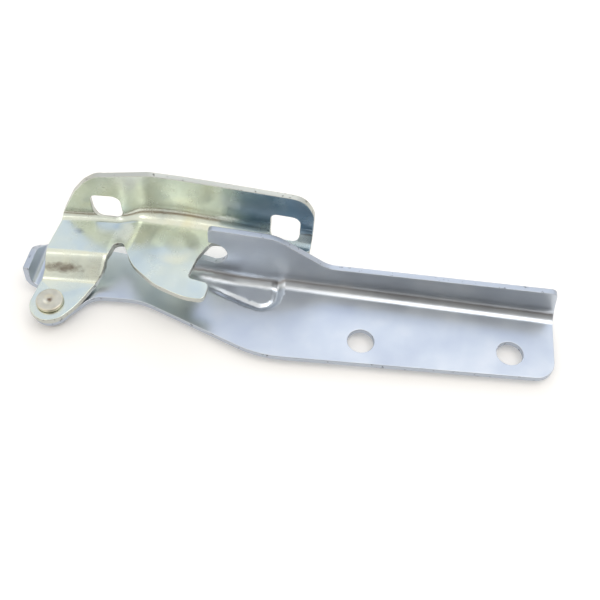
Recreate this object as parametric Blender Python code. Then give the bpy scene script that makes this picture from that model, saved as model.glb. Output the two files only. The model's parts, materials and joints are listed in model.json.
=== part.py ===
# Bonnet hinge: two pressed sheet parts on one rivet, drawn closed, lying as in the photograph.
# X runs along the arm, Z is the pivot axis, and z = 0 is the upper face of the arm's web.
import bpy
import bmesh
from math import pi, sin, cos, tan, acos, atan2, hypot, radians, sqrt
from mathutils import Vector
from mathutils.geometry import delaunay_2d_cdt

for old in list(bpy.data.objects):
    bpy.data.objects.remove(old, do_unlink=True)

# Driving dimensions in millimetres
SHEET = 2.5                 # thickness of both pressings
GAP = 0.3                   # running gap between touching pieces
WASHER = 0.5                # washer between the eyes
TAIL_WASHER = 0.8           # washer under the arm's eye
ARM_LEN = 199.6             # pivot to the arm's free end
ARM_LOW = 14.2              # pivot to the arm's straight lower edge
NECK_Y = 6.4                # pivot to the lower edge of the arm's neck
ARM_FACE = 26.57            # pivot to the inner face of the arm's flange
ARM_BEND = 4.6              # inner radius of that bend
HOLE_D = 10.5               # bolt holes in the arm
HOLE_PITCH = 58.7
HOLE_END = 18.5             # free end to the centre of the last hole
HOLE_Y = 3.9
FLANGE_LOW = 12.0           # height of the arm's flange at the lug and at its free end
FLANGE_END = 14.8
LUG_TOP = 26.6
NOTCH_R = 6.3               # catch notch in the lug
NOTCH_Z = 13.0
POCKET_D = 2.6              # teardrop pocket: depth, wall, small and large radius
POCKET_WALL = 4.8
POCKET_RA = 3.2
POCKET_RB = 9.0
TAB_TOP = 8.5               # stop tab beyond the pivot
TAB_LEN = 22.0
TAB_BEND = 2.0
TAB_X = 10.2
EYE_R = 8.0                 # bracket's eye
ARM_EYE_R = EYE_R - 0.5
HOOK_X = 61.4               # pivot to the tip of the hook finger
PLATE_END = 99.6            # pivot to the right end of the bracket
MOUNT_Y = 37.5              # pivot to the face of the mounting flange
MOUNT_TOP = 37.0            # top edge of the mounting flange
LEG_Z = 12.0                # upper face of the bracket's leg
PLATE_Z = 15.0              # upper face of the hook plate
FOLD_Y = 9.9                # crease between the eye and the step
FOLD_R = 2.0
STEP_R = 3.5
STEP_SLOPE = radians(51)
CREASE_R = 3.4              # inner radius of the mounting bend at the leg
MOUNT_BEND = 6.2            # and along the plate
EMBOSS_R = 10.5
EMBOSS_H = 0.5
SLOT = 11.8                 # square slots in the mounting flange
SLOT_CORNER = 3.8
SHANK_D = 7.4
HEAD_D = 10.7
HEAD_H = 1.3
DIMPLE_D = 4.6
TAIL_D = 10.2
TAIL_H = 1.2
BORE_D = SHANK_D + 2 * GAP
EYE_Z = GAP + WASHER + GAP + SHEET      # upper face of the bracket's eye
SCALE = 0.001

# The model's origin is on the arm's under face, midway between the two bolt holes
HOLE_2_X = ARM_LEN - HOLE_END
HOLE_1_X = HOLE_2_X - HOLE_PITCH
MIDDLE = (HOLE_1_X + HOLE_PITCH / 2, -HOLE_Y, -SHEET)


def ease(t):
    t = min(max(t, 0.0), 1.0)
    return t * t * (3 - 2 * t)


def arc(cx, cy, r, start, end, steps):
    turn = [radians(start + (end - start) * i / steps) for i in range(steps + 1)]
    return [(cx + r * cos(a), cy + r * sin(a)) for a in turn]


def circle(cx, cy, r, steps=36):
    return [(cx + r * cos(2 * pi * i / steps), cy + r * sin(2 * pi * i / steps)) for i in range(steps)]


def rounded(corners):
    """Outline from corners (x, y, radius); a radius of 0 keeps the point."""
    out = []
    count = len(corners)
    for i, (x, y, r) in enumerate(corners):
        here = Vector((x, y))
        back = Vector(corners[i - 1][:2]) - here
        ahead = Vector(corners[(i + 1) % count][:2]) - here
        if r == 0 or back.length < 1e-6 or ahead.length < 1e-6:
            out.append((x, y))
            continue
        back.normalize()
        ahead.normalize()
        half = acos(max(-1, min(1, back.dot(ahead)))) / 2
        if half > pi / 2 - 0.01:
            out.append((x, y))
            continue
        middle = here + (back + ahead).normalized() * (r / sin(half))
        first = here + back * (r / tan(half)) - middle
        last = here + ahead * (r / tan(half)) - middle
        start = atan2(first.y, first.x)
        sweep = (atan2(last.y, last.x) - start + pi) % (2 * pi) - pi
        steps = max(2, int(abs(sweep) * sqrt(r) * 1.6) + 1)
        for k in range(steps + 1):
            a = start + sweep * k / steps
            out.append((middle.x + r * cos(a), middle.y + r * sin(a)))
    return out


def inside(loop, x, y):
    hit = False
    for (x0, y0), (x1, y1) in zip(loop, loop[1:] + loop[:1]):
        if (y0 > y) != (y1 > y) and x < x0 + (y - y0) * (x1 - x0) / (y1 - y0):
            hit = not hit
    return hit


def material(name, colour, roughness):
    mat = bpy.data.materials.new(name)
    mat.use_nodes = True
    shader = mat.node_tree.nodes["Principled BSDF"]
    shader.inputs["Base Color"].default_value = (*colour, 1)
    shader.inputs["Roughness"].default_value = roughness
    shader.inputs["Metallic"].default_value = 1.0
    return mat


def finish_object(name, bm, mat):
    """Smooth faces with crisp edges, in metres, with the object's own origin on the pivot axis."""
    bmesh.ops.scale(bm, vec=(SCALE, SCALE, SCALE), verts=bm.verts)
    bmesh.ops.recalc_face_normals(bm, faces=bm.faces)
    for face in bm.faces:
        face.smooth = True
    for edge in bm.edges:
        edge.smooth = edge.calc_face_angle(0) < radians(28)
    mesh = bpy.data.meshes.new(name)
    bm.to_mesh(mesh)
    bm.free()
    mesh.materials.append(mat)
    ob = bpy.data.objects.new(name, mesh)
    ob.location = [-c * SCALE for c in MIDDLE]
    bpy.context.collection.objects.link(ob)
    return ob


def sheet(name, outline, holes, lines, place, mat):
    """Cut the flat blank with its fold lines into triangles, then bend both faces of it."""
    points, edges = [], []
    for loop in [outline] + holes:
        start = len(points)
        points += loop
        edges += [(start + i, start + (i + 1) % len(loop)) for i in range(len(loop))]
    for line in lines:
        start = len(points)
        points += line
        edges += [(start + i, start + i + 1) for i in range(len(line) - 1)]
    cut = delaunay_2d_cdt([Vector(p) for p in points], edges, [], 0, SHEET / 2000)
    flat, tris = cut[0], []
    for face in cut[2]:
        cx = sum(flat[i].x for i in face) / 3
        cy = sum(flat[i].y for i in face) / 3
        if inside(outline, cx, cy) and not any(inside(h, cx, cy) for h in holes):
            tris.append(face)
    used = sorted({i for face in tris for i in face})
    bm = bmesh.new()
    top = {i: bm.verts.new(place(flat[i].x, flat[i].y, 0.0)) for i in used}
    low = {i: bm.verts.new(place(flat[i].x, flat[i].y, -SHEET)) for i in used}
    rim = set()
    for a, b, c in tris:
        bm.faces.new((top[a], top[b], top[c]))
        bm.faces.new((low[c], low[b], low[a]))
        rim |= {(a, b), (b, c), (c, a)}
    for a, b in sorted(rim):
        if (b, a) not in rim:
            bm.faces.new((low[a], low[b], top[b], top[a]))
    return finish_object(name, bm, mat)


def turned(name, profile, mat, steps=48):
    """Solid of revolution about Z from (radius, height) points; a closed profile makes a ring."""
    bm = bmesh.new()
    rings = []
    for r, z in profile:
        if r == 0:
            rings.append([bm.verts.new((0, 0, z))] * steps)
        else:
            turn = [2 * pi * k / steps for k in range(steps)]
            rings.append([bm.verts.new((r * cos(a), r * sin(a), z)) for a in turn])
    pairs = list(zip(rings, rings[1:]))
    if profile[0][0] > 0:
        pairs.append((rings[-1], rings[0]))
    for one, two in pairs:
        for k in range(steps):
            n = (k + 1) % steps
            quad = [one[k], one[n], two[n], two[k]]
            bm.faces.new([v for i, v in enumerate(quad) if v not in quad[:i]])
    return finish_object(name, bm, mat)


# Bend of the sheet about an inner radius, s being the distance past the start of the bend
def neutral(r):
    return r + 0.45 * SHEET


def quarter(r):
    return neutral(r) * pi / 2


def bend(s, r, w):
    """Distance and height reached at blank distance s, on the layer w below the inner face."""
    turn = min(s / neutral(r), pi / 2)
    rest = max(0.0, s - quarter(r))
    return (r - w) * sin(turn), r - (r - w) * cos(turn) + rest


def blank(z, r):
    """Blank distance past the bend start of a point that ends at height z."""
    if z < r:
        return neutral(r) * acos(1 - z / r)
    return quarter(r) + z - r


# Arm: the long bend is slanted in plan, and the stop tab has a bend of its own
SLANT = Vector((0.0554, 0.9985))
ALONG = Vector((SLANT.y, -SLANT.x))
START = Vector((0.0, ARM_FACE)) - SLANT * ARM_BEND
TAB_OUT = Vector((-0.9952, 0.0979))
TAB_UP = Vector((0.0979, 0.9952))
TAB_0 = Vector((-TAB_X, 1.1 * TAB_X)) - TAB_OUT * TAB_BEND
FLAT_END = 0.7 * HOOK_X                 # left of this the web runs on flat past the bend's line
POCKET_A = Vector((0.92 * HOOK_X, 0.662 * ARM_FACE))
POCKET_B = Vector((1.329 * HOOK_X, 0.55 * ARM_FACE))
SPAN = POCKET_B - POCKET_A


def pocket_edge(x, y):
    """Signed distance to half a teardrop, negative inside, which is open towards the bend."""
    long = SPAN.length
    p = Vector((x, y)) - POCKET_A
    u = p.dot(SPAN) / long
    side = max(0.0, p.x * SPAN.y - p.y * SPAN.x) / long
    lean = (POCKET_RA - POCKET_RB) / long
    cap = sqrt(1 - lean * lean)
    k = cap * u - lean * side
    if k < 0:
        return hypot(u, side) - POCKET_RA
    if k > cap * long:
        return hypot(u - long, side) - POCKET_RB
    return u * lean + side * cap - POCKET_RA


def pocket_depth(x, y):
    deep = POCKET_D * ease((x - POCKET_A.x) / (0.72 * SPAN.x))
    return deep * ease(-pocket_edge(x, y) / POCKET_WALL)


def crest(x):
    """Point of the bend's start line at x."""
    return Vector((x, START.y - x * SLANT.x / SLANT.y))


def arm_place(x, y, w):
    p = Vector((x, y))
    s = (p - TAB_0).dot(TAB_OUT)
    if s > 0 and y > EYE_R:
        out, z = bend(s, TAB_BEND, w)
        foot = p + TAB_OUT * (out - s)
        return (foot.x, foot.y, z)
    s = (p - START).dot(SLANT)
    if s > 0 and x > FLAT_END:
        out, z = bend(s, ARM_BEND, w)
        foot = p - SLANT * s
        z -= pocket_depth(foot.x, foot.y) * (1 - ease(s / quarter(ARM_BEND)))
        foot = foot + SLANT * out
        return (foot.x, foot.y, z)
    return (x, y, w - pocket_depth(x, y))


def on_flange(x, z):
    """Blank position of a point of the arm's flange, from its x and height."""
    along = (x - START.x - ARM_BEND * SLANT.x) / ALONG.x
    return tuple(START + ALONG * along + SLANT * blank(z, ARM_BEND))


def on_tab(a, z):
    return tuple(TAB_0 + TAB_UP * a + TAB_OUT * blank(z, TAB_BEND))


NOTCH_X = 0.99 * HOOK_X
LUG_X = 0.969 * HOOK_X
back_y = crest(0.75 * HOOK_X).y - 0.16 * SHEET
notch = [on_flange(x, z) for x, z in arc(NOTCH_X, NOTCH_Z, NOTCH_R, 90, -80, 16)]
arm_outline = rounded([
    (1.35 * HOOK_X, -ARM_LOW, 0.75 * HOOK_X),
    (ARM_LEN - 0.6 * SHEET, -ARM_LOW, 3.2 * SHEET),
    (ARM_LEN, 0.64 * ARM_FACE, 0),
    (*on_flange(ARM_LEN - 0.72 * SHEET, FLANGE_END), SHEET),
    (*on_flange(1.752 * HOOK_X, FLANGE_LOW), 0.15 * HOOK_X),
    (*on_flange(1.407 * HOOK_X, 0.989 * LUG_TOP), 0.23 * HOOK_X),
    (*on_flange(LUG_X, 1.023 * LUG_TOP), 0.8 * SHEET),
    (*on_flange(LUG_X, NOTCH_Z + NOTCH_R), 0.3 * SHEET),
    *[(x, y, 0) for x, y in notch],
    (*on_flange(0.937 * HOOK_X, 0.63 * NOTCH_Z), 0.5 * NOTCH_R),
    (*on_flange(0.75 * HOOK_X, 0.66 * NOTCH_Z), 0.8 * NOTCH_R),
    (0.75 * HOOK_X, back_y, 0.6 * NOTCH_R),
    (0.665 * HOOK_X, back_y, 0.3 * NOTCH_R),
    (0.62 * HOOK_X, 1.02 * ARM_FACE, 0.6 * NOTCH_R),
    (0.33 * HOOK_X, 1.12 * ARM_FACE, 0.5 * HOOK_X),
    (0.0, 1.13 * ARM_FACE, 0),
    (*on_tab(TAB_LEN, 0), 0),
    (*on_tab(0.5 * TAB_LEN, TAB_TOP), 0.28 * TAB_LEN),
    (*on_tab(0, TAB_TOP), 0.25 * SHEET),
    (*on_tab(-0.03 * TAB_LEN, 0.07 * TAB_TOP), 0),
    (-0.99 * ARM_EYE_R, 1.28 * ARM_EYE_R, 0),
    (-0.8 * ARM_EYE_R, 0.87 * ARM_EYE_R, 0),
    *[(x, y, 0) for x, y in arc(0, 0, ARM_EYE_R, 158, 338, 20)],
    (1.41 * ARM_EYE_R, 0.16 * NECK_Y, 0.8 * ARM_EYE_R),
    (0.24 * HOOK_X, NECK_Y, 1.2 * ARM_EYE_R),
    (0.554 * HOOK_X, 1.016 * NECK_Y, 0.42 * HOOK_X),
])
arm_holes = [circle(0, 0, BORE_D / 2)]
for hole_x in (HOLE_1_X, HOLE_2_X):
    arm_holes.append(circle(hole_x, -HOLE_Y, HOLE_D / 2))

arm_lines = []
bend_steps = [quarter(ARM_BEND) * i / 8 for i in range(9)]
for s in bend_steps:
    arm_lines.append([tuple(START + SLANT * s + ALONG * a) for a in (0.72 * HOOK_X, 1.1 * ARM_LEN)])
for i in range(7):
    reach = TAB_0 + TAB_OUT * (quarter(TAB_BEND) * i / 6)
    arm_lines.append([tuple(reach - TAB_UP * SHEET), tuple(reach + TAB_UP * 1.1 * TAB_LEN)])
left = POCKET_A.x - 1.2 * POCKET_RA
right = POCKET_B.x + 1.25 * POCKET_RB
rows = [-1.5 * POCKET_RB * (1 - i / 16) for i in range(16)] + bend_steps
for i in range(41):
    a = left + (right - left) * i / 40
    arm_lines.append([tuple(START + ALONG * a + SLANT * s) for s in rows])
for s in rows[:16]:
    arm_lines.append([tuple(START + ALONG * a + SLANT * s) for a in (left, right)])
arm_lines.append([tuple(START + ALONG * right + SLANT * s) for s in (-2 * ARM_FACE, 2 * LUG_TOP)])

zinc_arm = material("bright_zinc", (0.62, 0.66, 0.72), 0.25)
arm = sheet("bonnet_arm", arm_outline, arm_holes, arm_lines, arm_place, zinc_arm)


# Bracket: the height of its upper face over the plan, and the gently curved bend of its flange
CURVE_X = 0.707 * HOOK_X
CURVE_HALF = 0.14 * HOOK_X
LEFT_RUN = 0.035
RIGHT_RUN = -0.109
STEP_X = 0.39 * HOOK_X
STEP_HALF = 0.09 * HOOK_X
EMBOSS = (0.757 * HOOK_X, 0.63 * MOUNT_Y)


def face_slope(x):
    t = min(max((x - CURVE_X + CURVE_HALF) / (2 * CURVE_HALF), 0.0), 1.0)
    return LEFT_RUN + t * (RIGHT_RUN - LEFT_RUN)


def face_line(x):
    """Front face of the mounting flange in plan: two straights joined by an arc."""
    t = min(max((x - CURVE_X + CURVE_HALF) / (2 * CURVE_HALF), 0.0), 1.0)
    run = LEFT_RUN * min(x, CURVE_X - CURVE_HALF)
    run += (LEFT_RUN * t + (RIGHT_RUN - LEFT_RUN) * t * t / 2) * 2 * CURVE_HALF
    run += RIGHT_RUN * max(0.0, x - CURVE_X - CURVE_HALF)
    return MOUNT_Y + run


def mount_bend(x):
    """The crease is tight at the leg and opens out along the plate."""
    return CREASE_R + (MOUNT_BEND - CREASE_R) * ease((x - 0.33 * HOOK_X) / (0.3 * HOOK_X))


def bend_start(x):
    return face_line(x) - mount_bend(x)


def fold_y(x):
    return FOLD_Y + 0.03 * x


STEP_RISE = LEG_Z - EYE_Z
STEP_1 = FOLD_R * sin(STEP_SLOPE)
STEP_2 = STEP_1 + (STEP_RISE - (FOLD_R + STEP_R) * (1 - cos(STEP_SLOPE))) / tan(STEP_SLOPE)
STEP_3 = STEP_2 + STEP_R * sin(STEP_SLOPE)


def step_height(q):
    """Height over the eye at distance q past the crease: arc, slope, arc, flat."""
    if q <= 0:
        return 0.0
    if q < STEP_1:
        return FOLD_R - sqrt(FOLD_R ** 2 - q * q)
    if q < STEP_2:
        return FOLD_R * (1 - cos(STEP_SLOPE)) + (q - STEP_1) * tan(STEP_SLOPE)
    if q < STEP_3:
        return STEP_RISE - STEP_R + sqrt(STEP_R ** 2 - (STEP_3 - q) ** 2)
    return STEP_RISE


def step_line(y):
    return STEP_X + 0.2 * (y - 0.56 * MOUNT_Y)


def plate_height(x, y):
    blend = ease((x - step_line(y) + STEP_HALF) / (2 * STEP_HALF))
    dome = EMBOSS_H * ease((EMBOSS_R - hypot(x - EMBOSS[0], y - EMBOSS[1])) / (0.7 * EMBOSS_R))
    leg = EYE_Z + step_height(y - fold_y(x))
    return leg * (1 - blend) + (PLATE_Z + dome) * blend


def tilt(height, x, y, w):
    """Point on the layer w below a surface given by its height."""
    e = SHEET / 100
    slope_x = (height(x + e, y) - height(x - e, y)) / (2 * e)
    slope_y = (height(x, y + e) - height(x, y - e)) / (2 * e)
    n = Vector((-slope_x, -slope_y, 1)).normalized()
    return tuple(Vector((x, y, height(x, y))) + n * w)


def bracket_place(x, y, w):
    s = y - bend_start(x)
    if s <= 0:
        return tilt(plate_height, x, y, w)
    out, z = bend(s, mount_bend(x), w)
    n = Vector((-face_slope(x), 1)).normalized()
    foot = Vector((x, bend_start(x))) + n * out
    return (foot.x, foot.y, z + plate_height(x, bend_start(x)))


def on_face(x, z):
    """Blank position of a point of the mounting flange, from its x and height."""
    return (x, bend_start(x) + blank(max(z - plate_height(x, bend_start(x)), 0.0), mount_bend(x)))


def on_plan(x, y, r=0.0):
    """Corner of the bracket in plan, as shares of the hook's reach and the flange's distance."""
    return (x * HOOK_X, y * MOUNT_Y, r * HOOK_X)


def on_mount(x, z, r=0.0):
    """Corner of the mounting flange, as shares of the bracket's length and height."""
    return (*on_face(x * PLATE_END, z * MOUNT_TOP), r * PLATE_END)


bracket_outline = rounded([
    *[(x, y, 0) for x, y in arc(0.02 * EYE_R, -0.09 * EYE_R, EYE_R, 176, 318, 18)],
    (1.274 * EYE_R, -0.174 * EYE_R, 4.5 * EYE_R),
    on_plan(0.254, 0.267),
    on_plan(0.298, 0.357, 0.13),
    on_plan(0.331, 0.533, 0.33),
    on_plan(0.352, 0.667, 0.03),
    on_plan(0.414, 0.635, 0.042),
    on_plan(0.505, 0.336, 0.26),
    on_plan(0.66, 0.123, 0.33),
    on_plan(0.863, -0.016, 0.41),
    on_plan(0.99, -0.024, 0.042),
    on_plan(1.008, 0.187, 0.033),
    on_plan(0.866, 0.24, 0.026),
    on_plan(0.912, 0.52, 0.2),
    on_plan(0.985, 0.725, 0.04),
    on_plan(1.6, 0.695, 0.05),
    (PLATE_END, bend_start(PLATE_END), 0),
    on_mount(1.0, 0.784, 0.09),
    on_mount(0.959, 1.0, 0.09),
    on_mount(0.6, 1.0, 0.5),
    on_mount(0.148, 0.975, 0.07),
    on_mount(0.093, 0.86, 0.06),
    on_mount(0.048, 0.7, 0.1),
    on_mount(0.018, 0.53, 0.05),
    on_mount(-0.01, 0.38),
    on_plan(-0.028, 0.9, 0.2),
    on_plan(-0.068, 0.573, 0.3),
    on_plan(-0.075, 0.36),
    on_plan(-0.091, 0.256),
])


def slot(x, low, high, skew):
    """Slot from its left side and its two heights, leaning by skew at the foot."""
    return rounded([
        (*on_face(x + skew, low), SLOT_CORNER),
        (*on_face(x + SLOT + skew, low), 0.6 * SLOT_CORNER),
        (*on_face(x + SLOT, high), SLOT_CORNER),
        (*on_face(x, high), 0.6 * SLOT_CORNER),
    ])


bracket_holes = [
    circle(0, 0, BORE_D / 2),
    slot(0.108 * PLATE_END, 0.362 * MOUNT_TOP, 0.665 * MOUNT_TOP, 0.04 * SLOT),
    slot(0.828 * PLATE_END, 0.427 * MOUNT_TOP, 0.705 * MOUNT_TOP, 0.01 * SLOT),
]

curve_stations = [CURVE_X + CURVE_HALF * (i / 4 - 1) for i in range(9)]
step_stations = [step_line(MOUNT_Y) + STEP_HALF * (i / 6 - 1) for i in range(13)]
stations = [PLATE_END * (i / 20 - 0.15) for i in range(27)] + curve_stations + step_stations
bracket_lines = []
for i in range(9):
    bracket_lines.append([
        (x, bend_start(x) + quarter(mount_bend(x)) * (i / 8)) for x in sorted(stations)
    ])
for x in curve_stations:
    bracket_lines.append([(x, bend_start(x)), (x, bend_start(x) + MOUNT_TOP)])
for q in (0, STEP_1 * 0.35, STEP_1 * 0.7, STEP_1, STEP_2, STEP_2 + (STEP_3 - STEP_2) * 0.2,
          STEP_2 + (STEP_3 - STEP_2) * 0.4, STEP_2 + (STEP_3 - STEP_2) * 0.6,
          STEP_2 + (STEP_3 - STEP_2) * 0.8, STEP_3):
    bracket_lines.append([(x, fold_y(x) + q) for x in (-0.2 * HOOK_X, 0.336 * HOOK_X)])
for x in step_stations:
    shift = x - step_line(MOUNT_Y)
    run = [(step_line(y) + shift, y) for y in (0.4 * MOUNT_Y, 0.8 * MOUNT_Y)]
    bracket_lines.append(run + [(x, bend_start(x)), (x, bend_start(x) + quarter(mount_bend(x)))])
for i in range(6):
    ring = circle(*EMBOSS, EMBOSS_R * (1 - 0.14 * i))
    bracket_lines.append([(x, y) for x, y in ring + ring[:1] if y < bend_start(x) - 0.2 * SHEET])

zinc_bracket = material("passivated_zinc", (0.66, 0.66, 0.55), 0.28)
bracket = sheet("body_bracket", bracket_outline, bracket_holes, bracket_lines, bracket_place, zinc_bracket)

# Rivet and washers on the pivot axis
steel = material("rivet_steel", (0.60, 0.60, 0.56), 0.30)
washer_steel = material("washer_steel", (0.45, 0.46, 0.48), 0.35)
head_low = EYE_Z + GAP
head_top = head_low + HEAD_H
shank = SHANK_D / 2
head = HEAD_D / 2
tail = TAIL_D / 2
tail_top = -SHEET - GAP - TAIL_WASHER - GAP
rivet = turned("pivot_rivet", [
    (0, head_top - 0.2 * HEAD_H),
    (DIMPLE_D * 0.38, head_top - 0.17 * HEAD_H),
    (DIMPLE_D / 2, head_top),
    (head - 0.3 * HEAD_H, head_top),
    (head - 0.08 * HEAD_H, head_top - 0.1 * HEAD_H),
    (head, head_top - 0.35 * HEAD_H),
    (head, head_low),
    (shank, head_low),
    (shank, tail_top),
    (tail, tail_top),
    (tail, tail_top - TAIL_H * 0.5),
    (tail - TAIL_H * 0.5, tail_top - TAIL_H),
    (0, tail_top - TAIL_H),
], steel)


def washer(name, low, thick, outer):
    return turned(name, [
        (BORE_D / 2, low + thick),
        (outer, low + thick),
        (outer, low),
        (BORE_D / 2, low),
    ], washer_steel)


eye_washer = washer("eye_washer", GAP, WASHER, 0.89 * ARM_EYE_R)
tail_washer = washer("tail_washer", -SHEET - GAP - TAIL_WASHER, TAIL_WASHER, 0.89 * ARM_EYE_R)
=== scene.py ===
# %% [markdown]
# # A pressed-steel bonnet hinge
# Two sheet pressings turn on one rivet: a cranked bracket that bolts to the car body and a long
# arm that bolts to the bonnet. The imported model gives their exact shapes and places, so this
# lesson is about what makes plated sheet steel look real: the small radius on every blanked
# edge, the rough band that the cutting tool leaves, and a metal that takes its colour from the
# room around it.

# %% Load the frame
import bpy
import bmesh
import json
from math import cos, exp, hypot, pi, radians, sin, sqrt, tan
from mathutils import Matrix, Vector
from mathutils.kdtree import KDTree


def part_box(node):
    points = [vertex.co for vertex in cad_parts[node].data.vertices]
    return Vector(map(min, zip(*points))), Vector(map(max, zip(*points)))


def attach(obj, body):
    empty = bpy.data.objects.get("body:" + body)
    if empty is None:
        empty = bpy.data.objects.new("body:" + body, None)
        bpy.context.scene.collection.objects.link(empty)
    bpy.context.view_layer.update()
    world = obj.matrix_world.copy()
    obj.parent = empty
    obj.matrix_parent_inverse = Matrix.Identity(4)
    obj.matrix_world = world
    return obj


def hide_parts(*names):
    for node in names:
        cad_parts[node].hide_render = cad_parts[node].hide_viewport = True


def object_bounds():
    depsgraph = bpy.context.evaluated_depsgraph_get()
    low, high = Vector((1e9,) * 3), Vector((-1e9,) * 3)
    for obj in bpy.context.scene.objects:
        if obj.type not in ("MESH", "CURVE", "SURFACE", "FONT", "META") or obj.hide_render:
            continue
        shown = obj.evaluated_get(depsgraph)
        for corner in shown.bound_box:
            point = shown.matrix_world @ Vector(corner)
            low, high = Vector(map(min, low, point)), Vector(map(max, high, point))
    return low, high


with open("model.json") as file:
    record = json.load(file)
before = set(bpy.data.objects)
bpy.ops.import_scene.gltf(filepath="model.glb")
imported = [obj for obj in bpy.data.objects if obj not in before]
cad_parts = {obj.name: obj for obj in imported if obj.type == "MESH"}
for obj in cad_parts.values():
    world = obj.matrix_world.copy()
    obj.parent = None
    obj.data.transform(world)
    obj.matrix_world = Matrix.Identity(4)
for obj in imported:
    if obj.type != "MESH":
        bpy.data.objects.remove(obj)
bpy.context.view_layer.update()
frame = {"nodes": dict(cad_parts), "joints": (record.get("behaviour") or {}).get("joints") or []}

MM = 0.001
scene = bpy.context.scene
PIVOT = Vector(frame["joints"][0]["pos_m"])

# %% [markdown]
# ## Camera
# The photograph was fitted with a camera about 36 cm away, looking down at 55 degrees and rolled
# by nearly 5 degrees. A close camera makes the far end smaller, which a long lens would not, so
# the lens and the distance matter as much as the direction. Blender's camera looks along its own
# -Z, so its three columns are right, up and back.

# %% Camera
lens_data = bpy.data.cameras.new("photo_camera")
lens_data.sensor_width = 36.0
lens_data.lens = 54.0
lens_data.clip_start = 0.01
lens_data.clip_end = 50.0
camera = bpy.data.objects.new("photo_camera", lens_data)
scene.collection.objects.link(camera)
back = Vector((0.0, -0.5712, 0.8208)).normalized()
right = Vector((0.9966, 0.0682, 0.0474))
right = (right - back * right.dot(back)).normalized()
up = back.cross(right)
turn = Matrix((right, up, back)).transposed().to_4x4()
camera.matrix_world = Matrix.Translation(Vector((-54.39, -189.99, 300.0)) * MM) @ turn
scene.camera = camera
print("camera at", [round(c, 3) for c in camera.location])

# %% [markdown]
# ## Helpers for materials
# A colour is written as the hex value that a picture editor shows. Blender's shaders work in
# linear light, so one function converts it. A second small function adds a node with its
# settings and its links in one line, which keeps each material readable.

# %% Helpers for materials


def colour(code):
    """sRGB hex to the linear colour that shaders use."""
    parts = [int(code[i:i + 2], 16) / 255 for i in (1, 3, 5)]
    line = [c / 12.92 if c <= 0.04045 else ((c + 0.055) / 1.055) ** 2.4 for c in parts]
    return (*line, 1.0)


def add(tree, kind, values=None, **settings):
    """A node with its settings; values holds sockets to link or constants to set."""
    made = tree.nodes.new(kind)
    for name, value in settings.items():
        setattr(made, name, value)
    for name, value in (values or {}).items():
        if isinstance(value, bpy.types.NodeSocket):
            tree.links.new(value, made.inputs[name])
        else:
            made.inputs[name].default_value = value
    return made


def new_material(name):
    """A new material with its node tree and its shader."""
    made = bpy.data.materials.new(name)
    made.use_nodes = True
    print("material", name)
    return made, made.node_tree, made.node_tree.nodes["Principled BSDF"]


def ramp(tree, factor, stops):
    """A colour ramp from (position, hex) stops."""
    made = add(tree, "ShaderNodeValToRGB", {"Fac": factor})
    band = made.color_ramp
    while len(band.elements) < len(stops):
        band.elements.new(0.5)
    for element, (place, code) in zip(band.elements, stops):
        element.position = place
        element.color = colour(code)
    return made.outputs["Color"]


# %% [markdown]
# ## Bright zinc plate on the arm
# Rolled steel, barrel plated with bright zinc: a pale blue-white metal with a slightly blurred
# mirror. The rolling leaves a faint grain along the arm. The real grain is too fine for the
# picture, so it is drawn 0.6 mm wide. The plating bath leaves soft clouds about a centimetre
# across. A metal keeps metallic at 1 and the default IOR, and its colour is its reflectance, so
# it is pale even where the picture is dark.

# %% Bright zinc


def bright_zinc():
    cloud, grain, ripple = 14 * MM, 0.6 * MM, 9 * MM
    made, tree, shader = new_material("bright_zinc_plate")
    where = add(tree, "ShaderNodeTexCoord").outputs["Object"]
    clouds = add(tree, "ShaderNodeTexNoise", {"Vector": where, "Scale": 1 / cloud, "Detail": 3.0})
    along = add(tree, "ShaderNodeMapping", {"Vector": where, "Scale": (0.06, 1.0, 1.0)})
    lines = add(tree, "ShaderNodeTexNoise",
                {"Vector": along.outputs["Vector"], "Scale": 1 / grain, "Detail": 2.0})
    tint = ramp(tree, clouds.outputs["Fac"],
                [(0.3, "#CDD4DF"), (0.55, "#D4DBE4"), (0.75, "#DCE1E8")])
    tree.links.new(tint, shader.inputs["Base Color"])
    blur = add(tree, "ShaderNodeMapRange",
               {"Value": clouds.outputs["Fac"], "From Min": 0.3, "From Max": 0.7,
                "To Min": 0.28, "To Max": 0.34})
    tree.links.new(blur.outputs["Result"], shader.inputs["Roughness"])
    swell = add(tree, "ShaderNodeTexNoise", {"Vector": where, "Scale": 1 / ripple, "Detail": 1.0})
    wave = add(tree, "ShaderNodeBump",
               {"Height": swell.outputs["Fac"], "Strength": 0.15, "Distance": 0.15 * MM})
    fine = add(tree, "ShaderNodeBump",
               {"Height": lines.outputs["Fac"], "Normal": wave.outputs["Normal"],
                "Strength": 0.15, "Distance": 0.01 * MM})
    tree.links.new(fine.outputs["Normal"], shader.inputs["Normal"])
    shader.inputs["Metallic"].default_value = 1.0
    return made


# %% [markdown]
# ## Yellow passivated zinc on the bracket
# The same plating dipped in a chromate bath, which leaves a fine film. Its colour depends on its
# thickness, so it drifts from straw to pale green. Towards the flange's right end the tint is made
# darker and bluer: a painted dark reflection, standing in for the shade that the flange mirrors
# there. Broad noise picks between these tints, and the surface stays a sharper mirror than the
# arm's. Two marks are mixed in, each from its distance to a point, with a ragged rim: a grey stain
# on the leg and a painted brown reflection band on the step.

# %% Passivated zinc
# Between these two x values the tint is painted darker and bluer, as a dark reflection.
DARK_END_FROM, DARK_END_TO = -92 * MM, -76 * MM
# Each mark: centre in mm, stretch of the axes, radius in mm, colour and strength. The first is
# the grey stain on the leg, the second a painted brown reflection band on the step.
STAIN_AND_PAINTED_REFLECTION = (
    ((-144.9, 33.4, 14.5), (1.0, 1.3, 1.0), 3.0, "#8790A6", 0.55),
    # a painted brown reflection band, stretched along the step's wall
    ((-149.0, 17.8, 10.5), (0.30, 1.5, 0.8), 3.6, "#6B5648", 0.80),
)


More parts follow.
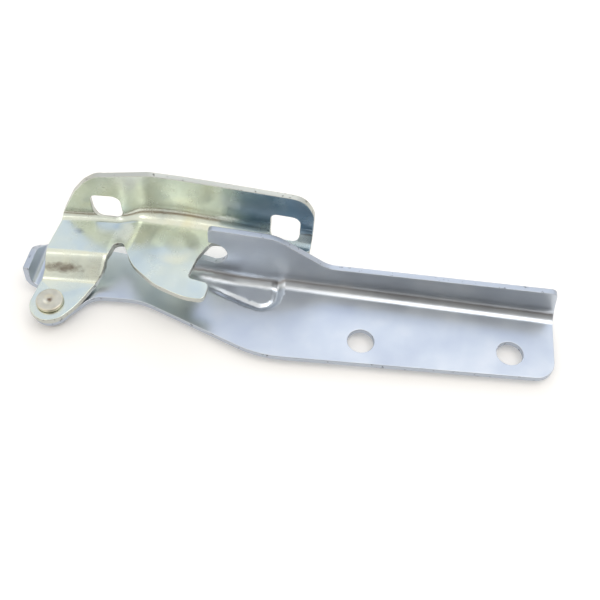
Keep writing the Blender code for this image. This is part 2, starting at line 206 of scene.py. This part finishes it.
def passivated_zinc():
    film_size, spot, crumb, ripple = 22 * MM, 5 * MM, 2.2 * MM, 10 * MM
    made, tree, shader = new_material("passivated_zinc_plate")
    where = add(tree, "ShaderNodeTexCoord").outputs["Object"]
    film = add(tree, "ShaderNodeTexNoise",
               {"Vector": where, "Scale": 1 / film_size, "Detail": 2.5, "Distortion": 0.6})
    place = add(tree, "ShaderNodeSeparateXYZ", {"Vector": where})
    # Painted dark reflection: this mask pulls the tint down the ramp to darker blue towards the
    # flange's right end.
    painted_dark_end = add(tree, "ShaderNodeMapRange",
               {"Value": place.outputs["X"], "From Min": DARK_END_FROM, "From Max": DARK_END_TO,
                "To Min": 0.0, "To Max": 0.36}, interpolation_type="SMOOTHSTEP")
    film_and_dark_end = add(tree, "ShaderNodeMath", {0: film.outputs["Fac"], 1: painted_dark_end.outputs["Result"]},
                operation="SUBTRACT").outputs[0]
    tint = ramp(tree, film_and_dark_end, [
        (0.06, "#8FA6B6"), (0.20, "#A9BAC4"), (0.34, "#D4DDD7"),
        (0.46, "#DFE7DE"), (0.56, "#E3E9DD"), (0.72, "#E6E8D0")])
    spots = add(tree, "ShaderNodeTexNoise", {"Vector": where, "Scale": 1 / spot, "Detail": 4.0})
    rough = add(tree, "ShaderNodeTexNoise", {"Vector": where, "Scale": 1 / crumb, "Detail": 4.0})
    # Mixes in the grey stain on the leg and the painted brown reflection band on the step.
    for centre, stretch, radius, code, strength in STAIN_AND_PAINTED_REFLECTION:
        moved = add(tree, "ShaderNodeVectorMath", {0: where, 1: Vector(centre) * MM},
                    operation="SUBTRACT")
        scaled = add(tree, "ShaderNodeVectorMath", {0: moved.outputs[0], 1: stretch},
                     operation="MULTIPLY")
        away = add(tree, "ShaderNodeVectorMath", {0: scaled.outputs[0]}, operation="LENGTH")
        ragged = add(tree, "ShaderNodeMath",
                     {0: rough.outputs["Fac"], 1: radius * MM, 2: away.outputs["Value"]},
                     operation="MULTIPLY_ADD")
        stain_and_reflection_mask = add(tree, "ShaderNodeMapRange",
                   {"Value": ragged.outputs[0], "From Min": 0.7 * radius * MM,
                    "From Max": 1.3 * radius * MM, "To Min": strength, "To Max": 0.0})
        tint = add(tree, "ShaderNodeMix", {0: stain_and_reflection_mask.outputs["Result"], 6: tint, 7: colour(code)},
                   data_type="RGBA").outputs[2]
    tree.links.new(tint, shader.inputs["Base Color"])
    blur = add(tree, "ShaderNodeMapRange",
               {"Value": spots.outputs["Fac"], "From Min": 0.35, "From Max": 0.7,
                "To Min": 0.20, "To Max": 0.30})
    tree.links.new(blur.outputs["Result"], shader.inputs["Roughness"])
    swell = add(tree, "ShaderNodeTexNoise", {"Vector": where, "Scale": 1 / ripple, "Detail": 1.0})
    wave = add(tree, "ShaderNodeBump",
               {"Height": swell.outputs["Fac"], "Strength": 0.22, "Distance": 0.25 * MM})
    tree.links.new(wave.outputs["Normal"], shader.inputs["Normal"])
    shader.inputs["Metallic"].default_value = 1.0
    return made


# %% [markdown]
# ## Sheared edges
# A press cuts the blank part of the way and breaks the rest, so the edge of the sheet is rougher
# than its faces. The plating covers it, but it looks matt and pale grey, with short dark nicks.

# %% Sheared edge


def sheared_edge(name, pale, deep):
    nick = 1.8 * MM
    made, tree, shader = new_material(name)
    where = add(tree, "ShaderNodeTexCoord").outputs["Object"]
    nicks = add(tree, "ShaderNodeTexNoise", {"Vector": where, "Scale": 1 / nick, "Detail": 4.0})
    tint = ramp(tree, nicks.outputs["Fac"], [(0.30, deep), (0.38, pale), (0.8, pale)])
    tree.links.new(tint, shader.inputs["Base Color"])
    bump = add(tree, "ShaderNodeBump",
               {"Height": nicks.outputs["Fac"], "Strength": 0.4, "Distance": 0.06 * MM})
    tree.links.new(bump.outputs["Normal"], shader.inputs["Normal"])
    shader.inputs["Metallic"].default_value = 1.0
    shader.inputs["Roughness"].default_value = 0.42
    return made


# %% [markdown]
# ## Dressing a pressing
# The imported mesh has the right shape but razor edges, and its triangles are loose. A copy is
# merged, rows of points are cut into the part of it that will change its form, and the new
# heights are set. Flat areas are then joined to single faces, so that smooth shading doesn't
# ripple over them. The faces that meet at a blanked edge are found by their angle, and those
# edges get the quarter-millimetre radius that tumbling leaves, once the points and short edges
# that would be in its way are gone. A Weighted Normal modifier keeps the flats flat in the
# mirror. The two largest areas between sharp edges are the sheet's two faces; what is left is
# the cut edge, which takes the rougher metal.

# %% Sizes for dressing
EDGE_RADIUS = 0.28 * MM
SHARP = radians(50)
WELD = 0.02 * MM                # points nearer than this are one point
SPECK = 0.01 * MM               # edges shorter than this are dropped
SNAP = 0.15 * MM                # a cut takes in points that lie this near to it
FLAT = radians(0.05)            # faces that meet at less than this are joined
SHORT = 0.3 * MM                # shorter edges that touch a blanked edge are merged
CLEAR = 0.45 * MM               # loose points stay this far from a blanked edge
SMALL_FACE = (1.7 * MM) ** 2
NEIGHBOURS = 10                 # how many points above a point underneath follows
SPREAD = 1.5 * MM               # how fast their pull fades with distance
print("edge radius", round(EDGE_RADIUS / MM, 2), "mm")

# %% Dress a pressing


def regions(bm):
    """Groups of faces joined across edges that are not sharp, the largest first."""
    seen, groups = set(), []
    for start in bm.faces:
        if start in seen:
            continue
        seen.add(start)
        group, front = [start], [start]
        while front:
            face = front.pop()
            for edge in face.edges:
                if len(edge.link_faces) == 2 and edge.calc_face_angle(0) < SHARP:
                    for other in edge.link_faces:
                        if other not in seen:
                            seen.add(other)
                            group.append(other)
                            front.append(other)
        groups.append(group)
    return sorted(groups, key=lambda g: -sum(f.calc_area() for f in g))


def sharp_edges(bm):
    return [e for e in bm.edges if e.calc_face_angle(0) > SHARP]


def ends(edges):
    """The points that these edges join."""
    return {v for e in edges for v in e.verts}


def nearest(points):
    """A search tree that finds the nearest of these points."""
    tree = KDTree(len(points))
    for i, point in enumerate(points):
        tree.insert(point, i)
    tree.balance()
    return tree


def clear_rim(bm):
    """Dissolve loose points that lie so near a blanked edge that its radius would pass them."""
    steps = 10
    rim = sharp_edges(bm)
    on_rim = ends(rim)
    tree = nearest([e.verts[0].co.lerp(e.verts[1].co, i / steps)
                    for e in rim for i in range(steps + 1)])
    near = [v for v in bm.verts if v not in on_rim and tree.find(v.co)[2] < CLEAR]
    bmesh.ops.dissolve_verts(bm, verts=near)
    # Small many-sided faces that this leaves become triangles, which can't warp.
    small = [f for f in bm.faces if len(f.verts) > 4 and f.calc_area() < SMALL_FACE]
    bmesh.ops.triangulate(bm, faces=small)


def reshape(groups, height):
    """Set the upper face of a sheet to a new height and carry its lower face along."""
    upper, lower = sorted(groups[:2], key=lambda g: -sum(f.normal.z * f.calc_area() for f in g))
    top = list(dict.fromkeys(v for f in upper for v in f.verts))
    under = list(dict.fromkeys(v for f in lower for v in f.verts))
    tree = nearest([vert.co for vert in top])
    # A point underneath follows the points above it, the nearest ones most.
    partners = []
    for vert in under:
        found = tree.find_n(vert.co, NEIGHBOURS)
        least = found[0][2]
        partners.append([(i, exp((least ** 2 - away ** 2) / SPREAD ** 2)) for _, i, away in found])
    move = []
    for vert in top:
        x, y, z = (vert.co - PIVOT) / MM
        move.append((height(x, y, z) - z) * MM)
    for vert, dz in zip(top, move):
        vert.co.z += dz
    for vert, shares in zip(under, partners):
        whole = sum(share for _, share in shares)
        vert.co.z += sum(move[i] * share for i, share in shares) / whole
    print("reshaped by up to", round(max(abs(dz) for dz in move) / MM, 2), "mm")


def cut_rows(bm, patch, cuts):
    """Cut rows of points into the faces whose middle lies in the patch."""
    for place, across in cuts:
        faces = [f for f in bm.faces if patch(*((f.calc_center_median() - PIVOT) / MM))]
        edges = list(dict.fromkeys(e for f in faces for e in f.edges))
        points = list(dict.fromkeys(v for e in edges for v in e.verts))
        bmesh.ops.bisect_plane(bm, geom=faces + edges + points, dist=SNAP,
                               plane_co=place, plane_no=across)


def dress(node, name, face_metal, edge_metal, height, patch, cuts):
    """A merged, reshaped and rounded copy of a packed pressing, in two metals."""
    bm = bmesh.new()
    bm.from_mesh(frame["nodes"][node].data)
    bmesh.ops.remove_doubles(bm, verts=bm.verts, dist=WELD)
    bmesh.ops.dissolve_degenerate(bm, edges=bm.edges, dist=SPECK)
    cut_rows(bm, patch, cuts)
    reshape(regions(bm), height)
    bmesh.ops.dissolve_limit(bm, angle_limit=FLAT, verts=bm.verts, edges=bm.edges)
    on_rim = ends(sharp_edges(bm))
    beside = [e for e in bm.edges if e.verts[0] in on_rim or e.verts[1] in on_rim]
    bmesh.ops.dissolve_degenerate(bm, edges=beside, dist=SHORT)
    clear_rim(bm)
    groups = regions(bm)
    for group in groups[2:]:
        for face in group:
            face.material_index = 1
    rim = sharp_edges(bm)
    bmesh.ops.bevel(bm, geom=rim, offset=EDGE_RADIUS, segments=2, profile=0.5,
                    affect="EDGES", material=-1, clamp_overlap=False, loop_slide=False)
    for face in bm.faces:
        face.smooth = True
    mesh = bpy.data.meshes.new(name)
    bm.to_mesh(mesh)
    bm.free()
    mesh.materials.append(face_metal)
    mesh.materials.append(edge_metal)
    piece = bpy.data.objects.new(name, mesh)
    scene.collection.objects.link(piece)
    flats = piece.modifiers.new("flat_faces", "WEIGHTED_NORMAL")
    flats.keep_sharp = True
    flats.weight = 50
    print(name, "areas", len(groups), "blanked edges", len(rim), "faces", len(mesh.polygons))
    return piece


# %% [markdown]
# ## Softer pressed forms
# A press rounds its forms more than drawn arcs do. The arm's teardrop pocket gets a sloping wall
# with a shallow groove at its foot, and a floor that lies a little above that groove. The long
# bend dips down to this floor. The bracket's step becomes one S-shaped sweep. Sizes are in
# millimetres from the pivot.

# %% The arm's bend and pocket
BEND_R = 4.6
FOLD_LINE = Vector((0.0, 26.57))        # a point on the flange's inner face
ACROSS = Vector((0.0554, 0.9985))       # the direction across the web, towards the flange
POCKET_A, POCKET_RA = Vector((56.5, 17.6)), 3.2
POCKET_B, POCKET_RB = Vector((81.6, 14.6)), 9.0
POCKET_DEEP = 1.9                       # depth at the foot of the wall
POCKET_WALL = 3.2                       # width of the sloping wall
POCKET_RIM = 0.3                        # flat strip inside the outline
FLOOR_RISE = 0.6                        # the floor lies this much above the wall's foot
RISE_FROM, RISE_LENGTH = 2.6, 2.4       # where it rises, inwards from the rim
TIP_FROM, TIP_LENGTH = -2, 18           # the narrow end deepens over this length
WEB_FROM = 46.5                         # the web left of this keeps its packed height
TOUCH = 0.02                            # points this near the flange's face belong to it


def ease(t):
    """0 to 1 with a soft start and end."""
    t = min(max(t, 0.0), 1.0)
    return t * t * (3 - 2 * t)


def pocket(x, y):
    """Depth of the teardrop: two circles and a straight side, open towards the bend."""
    span = POCKET_B - POCKET_A
    p = Vector((x, y)) - POCKET_A
    u = p.dot(span) / span.length
    side = max(0.0, p.x * span.y - p.y * span.x) / span.length
    lean = (POCKET_RA - POCKET_RB) / span.length
    cap = sqrt(1 - lean * lean)
    k = cap * u - lean * side
    if k < 0:
        edge = hypot(u, side) - POCKET_RA
    elif k > cap * span.length:
        edge = hypot(u - span.length, side) - POCKET_RB
    else:
        edge = u * lean + side * cap - POCKET_RA
    inside = -edge - POCKET_RIM
    drawn = POCKET_DEEP * ease(inside / POCKET_WALL)
    drawn = drawn - FLOOR_RISE * ease((inside - RISE_FROM) / RISE_LENGTH)
    return drawn * ease((x - POCKET_A.x - TIP_FROM) / TIP_LENGTH)


def arm_height(x, y, z):
    """The web with its pocket, then a quarter ellipse up to the flange, which stays as it is."""
    out = (Vector((x, y)) - FOLD_LINE).dot(ACROSS) + BEND_R
    if x < WEB_FROM or out > BEND_R - TOUCH:
        return z
    foot = Vector((x, y)) - ACROSS * max(out, 0.0)
    deep = pocket(foot.x, foot.y)
    part = max(out, 0.0) / BEND_R
    return (BEND_R + deep) * (1 - sqrt(1 - part * part)) - deep


print("pocket", POCKET_DEEP, "mm deep at its wall")

# %% The bracket's step
EYE_TOP, LEG_TOP = 3.6, 12.0
FOLD_R, STEP_R, SLOPE = 2.0, 3.5, radians(51)
STEP_Y, STEP_LEAN = 9.9, 0.03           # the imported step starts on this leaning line
SWEEP_FROM, SWEEP_LENGTH = -1.2, 11.4   # the soft sweep, counted from that line
# The sweep fades out over FADE_LENGTH to the right of a line through (FADE_X, FADE_Y).
FADE_X, FADE_Y, FADE_LEAN, FADE_LENGTH = 18.4, 21, 0.2, 11
# Beyond these three the bracket keeps its packed height.
STEP_LOW, STEP_HIGH, STEP_RIGHT = -1.5, 11, 30


def drawn_step(q):
    """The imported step: arc, slope, arc, flat."""
    first = FOLD_R * sin(SLOPE)
    rise = LEG_TOP - EYE_TOP
    second = first + (rise - (FOLD_R + STEP_R) * (1 - cos(SLOPE))) / tan(SLOPE)
    third = second + STEP_R * sin(SLOPE)
    if q <= 0 or q >= third:
        return 0.0 if q <= 0 else rise
    if q < first:
        return FOLD_R - sqrt(FOLD_R ** 2 - q * q)
    if q < second:
        return FOLD_R * (1 - cos(SLOPE)) + (q - first) * tan(SLOPE)
    return rise - STEP_R + sqrt(STEP_R ** 2 - (third - q) ** 2)


def bracket_height(x, y, z):
    """One S-shaped sweep in place of the step, fading out towards the plate."""
    q = y - STEP_Y - STEP_LEAN * x
    if q < STEP_LOW or q > STEP_HIGH or x > STEP_RIGHT:
        return z
    sweep = (LEG_TOP - EYE_TOP) * ease((q - SWEEP_FROM) / SWEEP_LENGTH)
    keep = 1 - ease((x - FADE_LEAN * (y - FADE_Y) - FADE_X) / FADE_LENGTH)
    return z + (sweep - drawn_step(q)) * keep


print("step", round(LEG_TOP - EYE_TOP, 2), "mm high")

# %% [markdown]
# ## The two pressings
# Each pressing is dressed with its own metals and heights. The arm gets a grid of points over the
# pocket and the foot of the bend, so that both curve smoothly. The bracket needs rows of points
# on its step only.

# %% The arm
COLUMN_FROM, COLUMN_GAP, COLUMNS = 49, 1.5, 30
ROW_FROM, ROW_GAP, ROWS = 4.8, 0.7, 29


def arm_patch(x, y, z):
    """The stretch of web beside the bend that holds the pocket."""
    return 42 < x < 98 and 0 < y < 27 and z < 3


fold = Vector((*FOLD_LINE, 0))
across = Vector((*ACROSS, 0))
columns = [(PIVOT + Vector((COLUMN_FROM + COLUMN_GAP * i, 0, 0)) * MM, Vector((1, 0, 0)))
           for i in range(COLUMNS)]
rows = [(PIVOT + (fold - across * (ROW_FROM + ROW_GAP * i)) * MM, across) for i in range(ROWS)]
arm = dress("bonnet_arm", "plated_arm", bright_zinc(),
            sheared_edge("sheared_zinc_edge", "#BAC2CE", "#7E858F"),
            arm_height, arm_patch, columns + rows)
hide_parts("bonnet_arm")
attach(arm, "arm")

# %% The bracket


def bracket_patch(x, y, z):
    """The pivot end of the bracket, which holds the step."""
    return x < 26


rows = [(PIVOT + Vector((0, STEP_Y + q, 0)) * MM, Vector((-STEP_LEAN, 1, 0)))
        for q in range(-1, 11)]
bracket = dress("body_bracket", "plated_bracket", passivated_zinc(),
                sheared_edge("sheared_passivated_edge", "#C4C6C0", "#7F807A"),
                bracket_height, bracket_patch, rows)
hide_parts("body_bracket")
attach(bracket, "bracket")

# %% [markdown]
# ## Rivet
# The head was formed by a spinning punch, which leaves a flat face, a small rounded shoulder and
# a shallow dimple in the middle. The dimple holds a trace of brown. Half of the outline is drawn
# once and spun round the pivot axis.

# %% Rivet metal


def rivet_steel(face_height):
    cloud, crumb = 4 * MM, 0.9 * MM
    middle = (PIVOT.x, PIVOT.y, face_height)
    made, tree, shader = new_material("formed_rivet_steel")
    where = add(tree, "ShaderNodeTexCoord").outputs["Object"]
    clouds = add(tree, "ShaderNodeTexNoise", {"Vector": where, "Scale": 1 / cloud, "Detail": 3.0})
    tint = ramp(tree, clouds.outputs["Fac"], [(0.35, "#CBC7B8"), (0.65, "#DEDACA")])
    centre = add(tree, "ShaderNodeVectorMath", {0: where, 1: middle}, operation="SUBTRACT")
    off = add(tree, "ShaderNodeVectorMath", {0: centre.outputs[0]}, operation="LENGTH")
    rust = add(tree, "ShaderNodeTexNoise", {"Vector": where, "Scale": 1 / crumb, "Detail": 3.0})
    edge = add(tree, "ShaderNodeMath", {0: rust.outputs["Fac"], 1: 2.4 * MM, 2: 0.2 * MM},
               operation="MULTIPLY_ADD")
    spot = add(tree, "ShaderNodeMapRange",
               {"Value": off.outputs["Value"], "From Min": edge.outputs[0],
                "From Max": 0.4 * MM, "To Min": 0.0, "To Max": 1.0})
    stain = add(tree, "ShaderNodeMix",
                {0: spot.outputs["Result"], 6: tint, 7: colour("#84705E")}, data_type="RGBA")
    tree.links.new(stain.outputs[2], shader.inputs["Base Color"])
    bump = add(tree, "ShaderNodeBump",
               {"Height": clouds.outputs["Fac"], "Strength": 0.2, "Distance": 0.05 * MM})
    tree.links.new(bump.outputs["Normal"], shader.inputs["Normal"])
    shader.inputs["Metallic"].default_value = 1.0
    shader.inputs["Roughness"].default_value = 0.34
    return made


# %% Rivet
SHANK = 3.7 * MM
TURNS = 64
low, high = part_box("pivot_rivet")
top = high[2]
bottom = low[2]
head = (high[0] - low[0]) / 2
outline = [
    # the dimple
    (0.0, top - 0.26 * MM), (1.2 * MM, top - 0.25 * MM), (1.7 * MM, top - 0.19 * MM),
    (2.1 * MM, top - 0.09 * MM), (2.5 * MM, top - 0.02 * MM), (2.9 * MM, top),
    # the flat face and the rounded shoulder
    (head - 0.70 * MM, top - 0.01 * MM), (head - 0.40 * MM, top - 0.06 * MM),
    (head - 0.14 * MM, top - 0.22 * MM), (head, top - 0.5 * MM), (head, top - 1.2 * MM),
    # under the head and down the shank
    (head - 0.06 * MM, top - 1.3 * MM), (SHANK, top - 1.3 * MM), (SHANK, bottom + 1.2 * MM),
    # the formed tail
    (5.0 * MM, bottom + 1.2 * MM), (5.1 * MM, bottom + 1.1 * MM), (5.1 * MM, bottom + 0.6 * MM),
    (4.9 * MM, bottom + 0.3 * MM), (4.5 * MM, bottom + 0.05 * MM), (4.2 * MM, bottom),
    (0.0, bottom),
]
bm = bmesh.new()
line = [bm.verts.new((PIVOT.x + r, PIVOT.y, z)) for r, z in outline]
edges = [bm.edges.new(pair) for pair in zip(line, line[1:])]
bmesh.ops.spin(bm, geom=line + edges, cent=PIVOT, axis=(0, 0, 1), angle=2 * pi, steps=TURNS,
               use_merge=True)
bmesh.ops.remove_doubles(bm, verts=bm.verts, dist=0.001 * MM)
bmesh.ops.recalc_face_normals(bm, faces=bm.faces)
for face in bm.faces:
    face.smooth = True
rivet_mesh = bpy.data.meshes.new("formed_rivet")
bm.to_mesh(rivet_mesh)
bm.free()
rivet_mesh.materials.append(rivet_steel(top))
rivet = bpy.data.objects.new("formed_rivet", rivet_mesh)
scene.collection.objects.link(rivet)
rivet.modifiers.new("shoulders", "WEIGHTED_NORMAL")
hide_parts("pivot_rivet")
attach(rivet, "bracket")
print("rivet head", round(2 * head / MM, 2), "mm across")

# %% [markdown]
# ## Washers
# The two washers are hardly seen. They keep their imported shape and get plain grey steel.

# %% Washers


def washer_steel():
    cloud = 3 * MM
    made, tree, shader = new_material("plain_washer_steel")
    where = add(tree, "ShaderNodeTexCoord").outputs["Object"]
    clouds = add(tree, "ShaderNodeTexNoise", {"Vector": where, "Scale": 1 / cloud, "Detail": 2.0})
    tint = ramp(tree, clouds.outputs["Fac"], [(0.35, "#84868A"), (0.65, "#9A9CA0")])
    tree.links.new(tint, shader.inputs["Base Color"])
    shader.inputs["Metallic"].default_value = 1.0
    shader.inputs["Roughness"].default_value = 0.4
    return made


steel = washer_steel()
for node in ("eye_washer", "tail_washer"):
    mesh = frame["nodes"][node].data
    mesh.materials.clear()
    mesh.materials.append(steel)

# %% [markdown]
# ## Floor
# The photograph has a white sweep and no visible horizon. The floor is a large white plane that
# keeps the object's soft shadow. A little light of its own lifts it to white in the picture and
# in the plating's reflections.

# %% Floor
SWEEP_SIZE, SWEEP_LIFT = 3.0, 0.18
floor_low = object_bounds()[0][2]
bm = bmesh.new()
bmesh.ops.create_grid(bm, x_segments=1, y_segments=1, size=SWEEP_SIZE)
bmesh.ops.translate(bm, verts=bm.verts, vec=(0, 0, floor_low))
floor_mesh = bpy.data.meshes.new("sweep")
bm.to_mesh(floor_mesh)
bm.free()
floor = bpy.data.objects.new("sweep", floor_mesh)
scene.collection.objects.link(floor)
paper, tree, shader = new_material("white_paper")
shader.inputs["Base Color"].default_value = colour("#F4F3F2")
shader.inputs["Roughness"].default_value = 0.9
shader.inputs["Emission Color"].default_value = (1, 1, 1, 1)
ray = add(tree, "ShaderNodeLightPath").outputs
shown = add(tree, "ShaderNodeMath", {0: ray["Is Camera Ray"], 1: ray["Is Glossy Ray"]},
            operation="ADD")
shown = add(tree, "ShaderNodeMath", {0: shown.outputs[0], 1: ray["Is Transmission Ray"]},
            operation="ADD")
lift = add(tree, "ShaderNodeMath", {0: shown.outputs[0], 1: SWEEP_LIFT}, operation="MULTIPLY")
tree.links.new(lift.outputs[0], shader.inputs["Emission Strength"])
floor_mesh.materials.append(paper)
print("floor at", round(floor_low / MM, 2), "mm")

# %% [markdown]
# ## Room
# Bright plating shows the room more than itself, so the world matters most. One angle runs from
# the wall behind the part, over the top and down to the photographer's side, and a ramp along it
# gives a white room with a pale blue band high behind the part and a brown band low in front. A
# dark, warm dusk lies over the photographer's side, which leaves the left free and is weaker on
# the far right. To the camera itself the world is white.

# %% Room
world = bpy.data.worlds.new("studio")
world.use_nodes = True
scene.world = world
tree = world.node_tree
tree.nodes.clear()
out = add(tree, "ShaderNodeOutputWorld")
toward = add(tree, "ShaderNodeTexCoord").outputs["Generated"]
axes = add(tree, "ShaderNodeSeparateXYZ", {"Vector": toward}).outputs
swing = add(tree, "ShaderNodeMath", {0: axes["Z"], 1: axes["Y"]}, operation="ARCTAN2")
over = add(tree, "ShaderNodeMath", {0: swing.outputs[0], 1: pi}, operation="DIVIDE").outputs[0]
sky = ramp(tree, over, [
    (0.00, "#F6F0E8"), (0.25, "#F6F7F5"),
    (0.290, "#DFEAFF"), (0.310, "#D6E4FF"), (0.330, "#DFEAFF"),     # the pale blue band
    (0.360, "#FFFCF6"), (0.60, "#FFF8EC"), (0.66, "#F8F5EE"), (0.85, "#F4F1EA"),
    (0.90, "#8A745E"), (0.94, "#85705C"), (1.00, "#D8D2CA")])       # the brown band
dusk = ramp(tree, over, [(0.600, "#000000"), (0.640, "#FFFFFF")])
side = add(tree, "ShaderNodeMapRange",
           {"Value": axes["X"], "From Min": -0.18, "From Max": -0.03,
            "To Min": 0.0, "To Max": 1.0}, interpolation_type="SMOOTHSTEP")
far = add(tree, "ShaderNodeMapRange",
          {"Value": axes["X"], "From Min": 0.08, "From Max": 0.30,
           "To Min": 1.0, "To Max": 0.30}, interpolation_type="SMOOTHSTEP")
shade = add(tree, "ShaderNodeMath", {0: dusk, 1: side.outputs["Result"]}, operation="MULTIPLY")
shade = add(tree, "ShaderNodeMath", {0: shade.outputs[0], 1: far.outputs["Result"]},
            operation="MULTIPLY")
room = add(tree, "ShaderNodeMix", {0: shade.outputs[0], 6: sky, 7: colour("#231A13")},
           data_type="RGBA")
ray = add(tree, "ShaderNodeLightPath").outputs
plain = add(tree, "ShaderNodeMix", {0: ray["Is Camera Ray"], 6: room.outputs[2], 7: (1, 1, 1, 1)},
            data_type="RGBA")
glow = add(tree, "ShaderNodeBackground", {"Color": plain.outputs[2], "Strength": 1.0})
tree.links.new(glow.outputs["Background"], out.inputs["Surface"])
print("room drawn with", len(tree.nodes), "nodes")

# %% [markdown]
# ## Lamps
# Three soft boxes give the broad highlights and the soft shadow: one overhead, a little to the
# right, one behind the part like a window, and a weaker, warmer one in front on the left.

# %% Lamps


def soft_box(name, place, size, watts, code):
    """A square lamp of this size in metres, aimed at the origin."""
    data = bpy.data.lights.new(name, "AREA")
    data.shape = "SQUARE"
    data.size = size
    data.energy = watts
    data.color = colour(code)[:3]
    lamp = bpy.data.objects.new(name, data)
    scene.collection.objects.link(lamp)
    lamp.location = place
    lamp.rotation_mode = "QUATERNION"
    aim = Vector((0, 0, 0)) - Vector(place)
    lamp.rotation_quaternion = aim.to_track_quat("-Z", "Y")
    print(name, watts, "W from", round(aim.length, 2), "m away")


soft_box("overhead_box", (0.30, 0.05, 1.1), 0.6, 2.2, "#FFFFFF")
soft_box("window_box", (0.0, 1.0, 0.72), 0.5, 1.2, "#FFFFFF")
soft_box("front_box", (-0.70, -0.60, 1.1), 0.5, 0.9, "#FFF8F0")

# %% [markdown]
# ## Finish
# The picture is shown without a film look.

# %% Finish
scene.view_settings.view_transform = "Standard"
